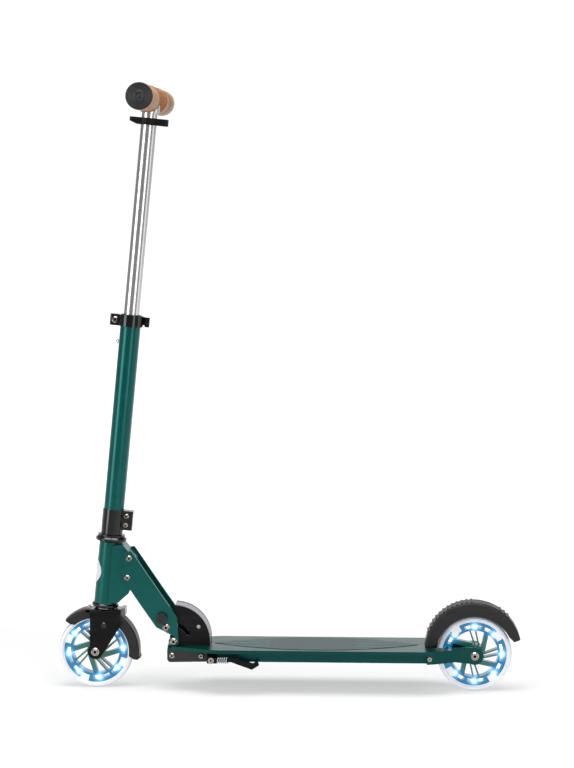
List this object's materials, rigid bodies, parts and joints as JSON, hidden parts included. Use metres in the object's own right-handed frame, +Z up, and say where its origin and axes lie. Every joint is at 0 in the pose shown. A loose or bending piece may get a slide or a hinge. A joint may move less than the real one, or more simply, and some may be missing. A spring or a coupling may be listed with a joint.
{
  "type": "kick scooter",
  "caption": "Folding two-wheel kick scooter with a low deck, rear foot brake, folding neck, telescopic handlebar, turned handles and clear light-up wheels.",
  "frame": {"origin": "on the ground, midway along the scooter's length and on its middle plane", "axes": "+X forward, +Y to the rider's left, +Z up"},
  "size_m": [0.7411, 0.3428, 0.9619],
  "materials": {
    "green_paint": "satin",
    "grit": "gritty matte",
    "black_plastic": "matte, fine grain",
    "grey_plastic": "satin, ribbed",
    "black_metal": "satin black",
    "gloss_black": "gloss black",
    "steel": "polished",
    "zinc": "bright zinc",
    "chrome": "polished",
    "badge": "satin",
    "mudguard_plastic": "matte",
    "grip_wood": "turned, banded",
    "cap_rubber": "fine rings",
    "clear_tyre": "clear polyurethane",
    "core_plastic": "gloss",
    "lamp": "lit"
  },
  "bodies": {
    "deck": {"deck": "green_paint", "grip_sheet": "grit", "fold_block_cheeks": "black_plastic", "fold_block_rim": "grey_plastic", "lock_balls": "steel", "nose_brackets": "black_metal", "bracket_screws": "steel", "pivot_bolt": "steel", "kickstand_block": "black_metal", "kickstand_pin": "steel", "brake_pin": "steel", "brake_spring": "zinc", "rear_axle": "steel", "rear_spacers": "zinc"},
    "kickstand": {"kickstand_arm": "black_metal", "kickstand_spring": "zinc"},
    "brake": {"brake": "mudguard_plastic"},
    "rear_wheel": {"rear_tyre": "clear_tyre", "rear_core": "core_plastic", "rear_bearings": "steel", "rear_lights": "lamp"},
    "neck": {"neck_plate_left": "green_paint", "neck_plate_right": "green_paint", "head_tube": "green_paint", "bearing_cups": "gloss_black", "head_badge": "badge", "neck_bolts": "steel", "guide_pin": "steel"},
    "fold_button": {"fold_button": "gloss_black"},
    "steering": {"fork": "black_metal", "fork_steerer": "steel", "crown_race": "zinc", "headset_bearings": "steel", "locknut": "gloss_black", "steering_tube": "green_paint", "lower_clamp": "gloss_black", "lower_clamp_bolts": "steel", "collar": "gloss_black", "collar_bolt": "steel", "front_mudguard": "mudguard_plastic", "mudguard_bolts": "gloss_black", "front_axle": "steel", "front_spacers": "zinc"},
    "quick_lever": {"quick_lever": "black_plastic"},
    "height_button": {"height_button": "chrome"},
    "front_wheel": {"front_tyre": "clear_tyre", "front_core": "core_plastic", "front_bearings": "steel", "front_lights": "lamp"},
    "handlebar": {"inner_tube": "chrome", "cross_tube": "chrome", "handle_clip": "black_plastic"},
    "snap_left": {"snap_button_left": "chrome"},
    "snap_right": {"snap_button_right": "chrome"},
    "left_handle": {"grip_left": "grip_wood", "grip_tube_left": "chrome", "grip_cap_left": "cap_rubber"},
    "right_handle": {"grip_right": "grip_wood", "grip_tube_right": "chrome", "grip_cap_right": "cap_rubber"}
  },
  "joints": [
    {"name": "neck_fold", "type": "hinge", "parent": "deck", "child": "neck", "pos_m": [0.1836, 0, 0.0787], "axis": [0, -1, 0], "range_deg": [0, 86.5]},
    {"name": "fold_button_press", "type": "slide", "parent": "neck", "child": "fold_button", "axis": [0, 1, 0], "range_m": [-0.0025, 0], "stiffness_N_per_m": 400, "springref_m": 0.002},
    {"name": "steering_turn", "type": "hinge", "parent": "neck", "child": "steering", "pos_m": [0.3091, 0, 0], "axis": [-0.0971, 0, 0.9953], "range_deg": [-90, 90]},
    {"name": "quick_lever_swing", "type": "hinge", "parent": "steering", "child": "quick_lever", "pos_m": [0.27555, -0.017, 0.5944], "axis": [-0.0971, 0, 0.9953], "range_deg": [0, 95]},
    {"name": "height_button_press", "type": "slide", "parent": "steering", "child": "height_button", "axis": [-0.9953, 0, -0.0971], "range_m": [0, 0.002], "stiffness_N_per_m": 400, "springref_m": -0.002},
    {"name": "handlebar_height", "type": "slide", "parent": "steering", "child": "handlebar", "axis": [-0.0971, 0, 0.9953], "range_m": [-0.24, 0]},
    {"name": "snap_left_press", "type": "slide", "parent": "handlebar", "child": "snap_left", "axis": [0.0971, 0, -0.9953], "range_m": [-0.0018, 0], "stiffness_N_per_m": 400, "springref_m": 0.002},
    {"name": "snap_right_press", "type": "slide", "parent": "handlebar", "child": "snap_right", "axis": [0.0971, 0, -0.9953], "range_m": [-0.0018, 0], "stiffness_N_per_m": 400, "springref_m": 0.002},
    {"name": "left_handle_pull", "type": "slide", "parent": "handlebar", "child": "left_handle", "axis": [0, 1, 0], "range_m": [0, 0.032]},
    {"name": "right_handle_pull", "type": "slide", "parent": "handlebar", "child": "right_handle", "axis": [0, -1, 0], "range_m": [0, 0.032]},
    {"name": "front_wheel_spin", "type": "hinge", "parent": "steering", "child": "front_wheel", "pos_m": [0.3105, 0, 0.06], "axis": [0, 1, 0], "continuous": true},
    {"name": "rear_wheel_spin", "type": "hinge", "parent": "deck", "child": "rear_wheel", "pos_m": [-0.2977, 0, 0.06], "axis": [0, 1, 0], "continuous": true},
    {"name": "brake_press", "type": "hinge", "parent": "deck", "child": "brake", "pos_m": [-0.2255, 0, 0.06], "axis": [0, -1, 0], "range_deg": [0, 7], "stiffness_Nm_per_rad": 0.6, "springref_deg": -17.19},
    {"name": "kickstand_swing", "type": "hinge", "parent": "deck", "child": "kickstand", "pos_m": [0.121, 0.058, 0.0565], "axis": [0, -1, 0], "range_deg": [0, 42]}
  ]
}
